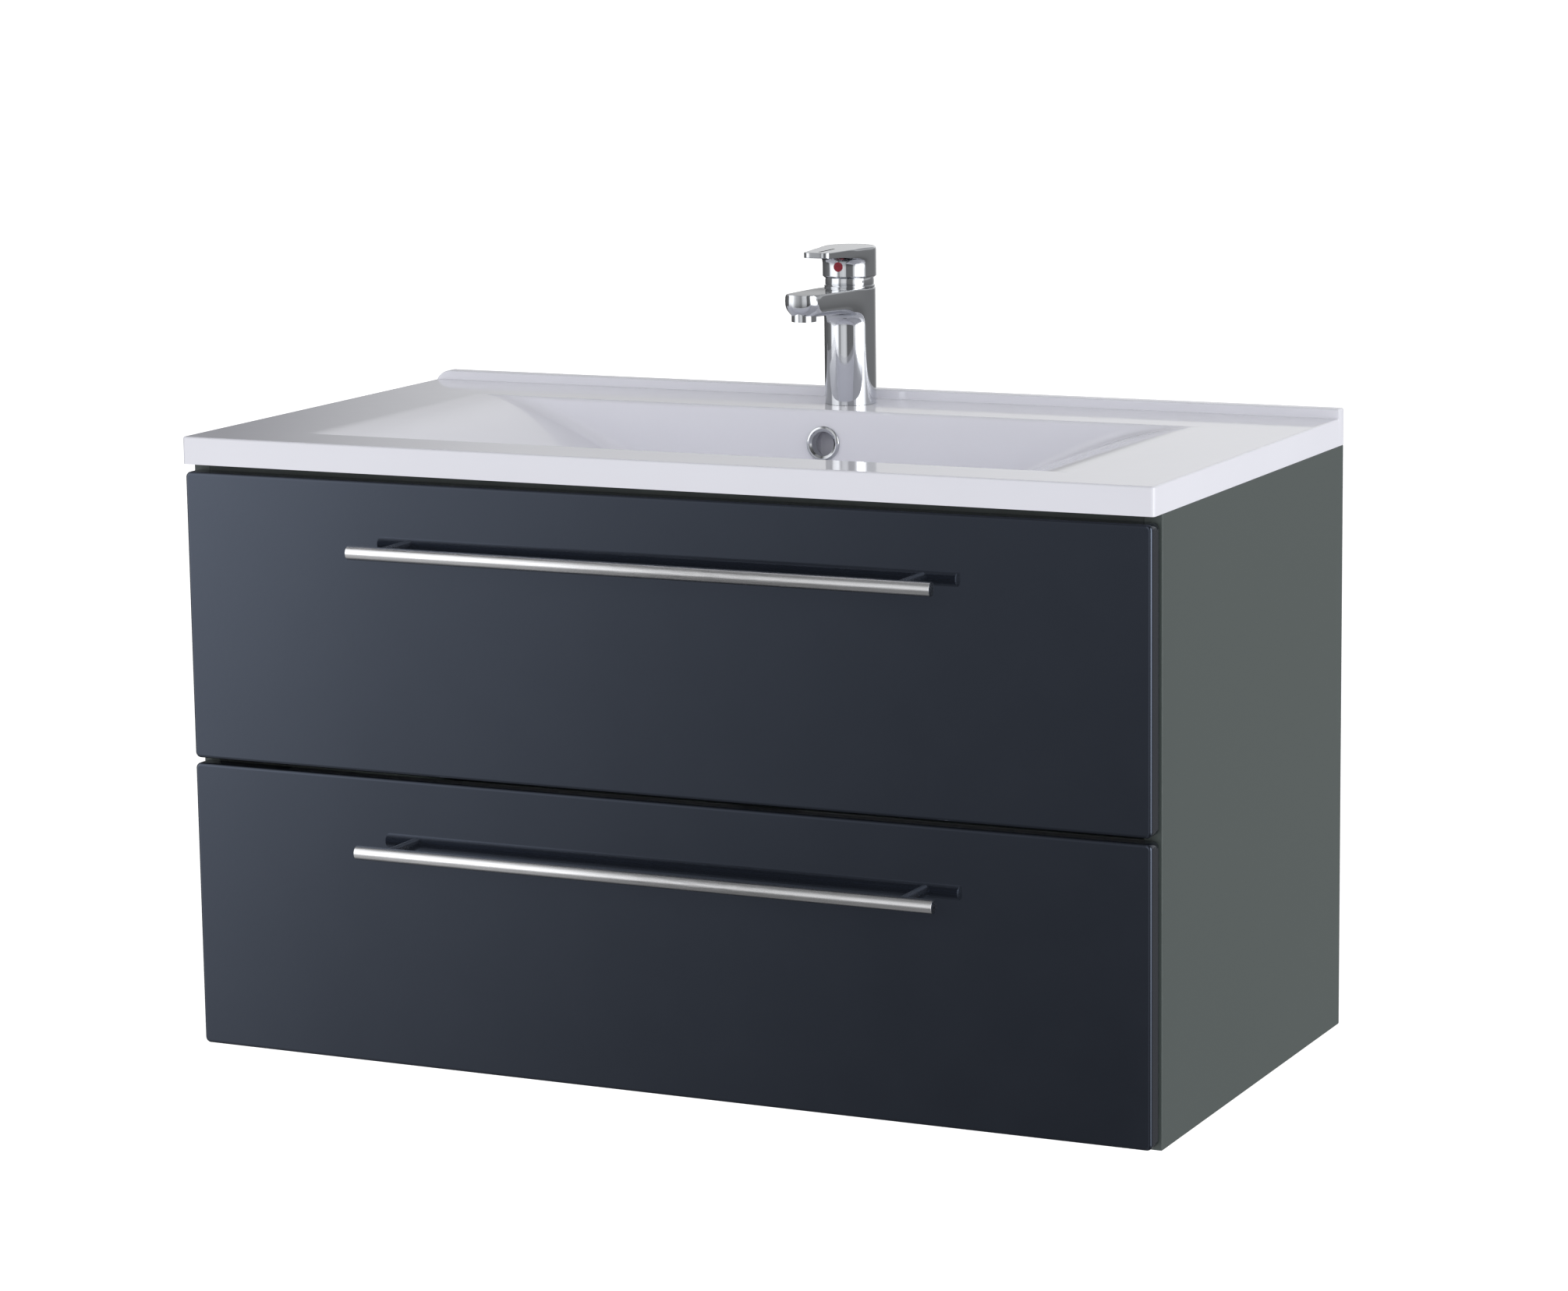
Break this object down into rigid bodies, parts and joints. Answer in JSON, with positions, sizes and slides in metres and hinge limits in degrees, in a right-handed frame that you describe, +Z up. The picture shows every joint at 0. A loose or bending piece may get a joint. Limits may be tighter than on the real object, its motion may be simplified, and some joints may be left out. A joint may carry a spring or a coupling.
{
  "type": "bathroom vanity cabinet",
  "caption": "Wall-hung vanity: cast washbasin with sloped ends and lever tap on a gloss cabinet with wide drawers, slim bar handles, runners, waste and trap.",
  "frame": {"origin": "centre of the four wall screws, in the plane of the wall", "axes": "+X to the right seen from the front, +Y into the wall, +Z up"},
  "size_m": [0.9, 0.493, 0.687],
  "materials": {
    "cast_white": "glossy white gelcoat over cast mineral",
    "lacquer_anthracite": "high-gloss anthracite lacquer on fibreboard",
    "carcass_board": "grey melamine-faced board",
    "drawer_board": "light grey melamine-faced board",
    "painted_steel": "satin grey powder coat",
    "satin_steel": "brushed along its length",
    "zinc_steel": "bright zinc plate",
    "chrome": "polished chrome plate",
    "brass": "turned brass",
    "white_plastic": "satin moulded",
    "grey_plastic": "satin moulded",
    "rubber": "matt",
    "clear_bumper": "soft translucent",
    "index_red": "gloss",
    "beech": "ribbed beech"
  },
  "bodies": {
    "cabinet": {"aerator": "chrome", "bottom_panel": "carcass_board", "cabinet_hangers": "zinc_steel", "carcass_dowels": "beech", "cartridge": "white_plastic", "front_bumpers": "clear_bumper", "front_rail": "carcass_board", "lower_cabinet_runners": "zinc_steel", "neck_ring": "chrome", "outlet_tube": "white_plastic", "overflow_ring": "chrome", "rear_panel": "carcass_board", "rear_rail": "carcass_board", "side_panel_left": "carcass_board", "side_panel_right": "carcass_board", "tap_body": "chrome", "tap_fixings": "zinc_steel", "tap_gasket": "rubber", "trap_body": "white_plastic", "trap_cup": "white_plastic", "trap_dip_tube": "white_plastic", "trap_nuts": "white_plastic", "upper_cabinet_runners": "zinc_steel", "wall_plates": "zinc_steel", "washbasin": "cast_white", "waste_body": "chrome", "waste_nut": "brass", "waste_seals": "rubber"},
    "upper_runner": {"upper_middle_runners": "zinc_steel"},
    "lower_runner": {"lower_middle_runners": "zinc_steel"},
    "upper_drawer": {"upper_front": "lacquer_anthracite", "upper_side_left": "painted_steel", "upper_side_right": "painted_steel", "upper_base": "drawer_board", "upper_back": "drawer_board", "upper_front_brackets": "zinc_steel", "upper_gallery_rails": "painted_steel", "upper_handle_bar": "satin_steel", "upper_handle_posts": "satin_steel", "upper_handle_screws": "zinc_steel", "upper_drawer_runners": "zinc_steel", "trap_surround": "grey_plastic"},
    "lower_drawer": {"lower_front": "lacquer_anthracite", "lower_side_left": "painted_steel", "lower_side_right": "painted_steel", "lower_base": "drawer_board", "lower_back": "drawer_board", "lower_front_brackets": "zinc_steel", "lower_gallery_rails": "painted_steel", "lower_handle_bar": "satin_steel", "lower_handle_posts": "satin_steel", "lower_handle_screws": "zinc_steel", "lower_drawer_runners": "zinc_steel"},
    "tap_turn": {"cartridge_collar": "white_plastic"},
    "tap_handle": {"tap_lever": "chrome", "cartridge_stem": "brass", "index_dot": "index_red"},
    "plug": {"drain_plug": "chrome"}
  },
  "joints": [
    {"name": "upper_drawer_slide", "type": "slide", "parent": "cabinet", "child": "upper_drawer", "axis": [0, -1, 0], "range_m": [0, 0.35]},
    {"name": "upper_runner_slide", "type": "slide", "parent": "cabinet", "child": "upper_runner", "axis": [0, -1, 0], "range_m": [0, 0.175]},
    {"name": "lower_drawer_slide", "type": "slide", "parent": "cabinet", "child": "lower_drawer", "axis": [0, -1, 0], "range_m": [0, 0.35]},
    {"name": "lower_runner_slide", "type": "slide", "parent": "cabinet", "child": "lower_runner", "axis": [0, -1, 0], "range_m": [0, 0.175]},
    {"name": "tap_swivel", "type": "hinge", "parent": "cabinet", "child": "tap_turn", "pos_m": [0, -0.05, 0.22], "axis": [0, 0, 1], "range_deg": [-45, 45]},
    {"name": "tap_lift", "type": "hinge", "parent": "tap_turn", "child": "tap_handle", "pos_m": [0, -0.05, 0.22], "axis": [-1, 0, 0], "range_deg": [0, 18]},
    {"name": "plug_lift", "type": "slide", "parent": "cabinet", "child": "plug", "axis": [0, 0, 1], "range_m": [0, 0.008]}
  ],
  "couplings": [
    {"joint": "upper_runner_slide", "follows": "upper_drawer_slide", "ratio": 0.5},
    {"joint": "lower_runner_slide", "follows": "lower_drawer_slide", "ratio": 0.5}
  ]
}
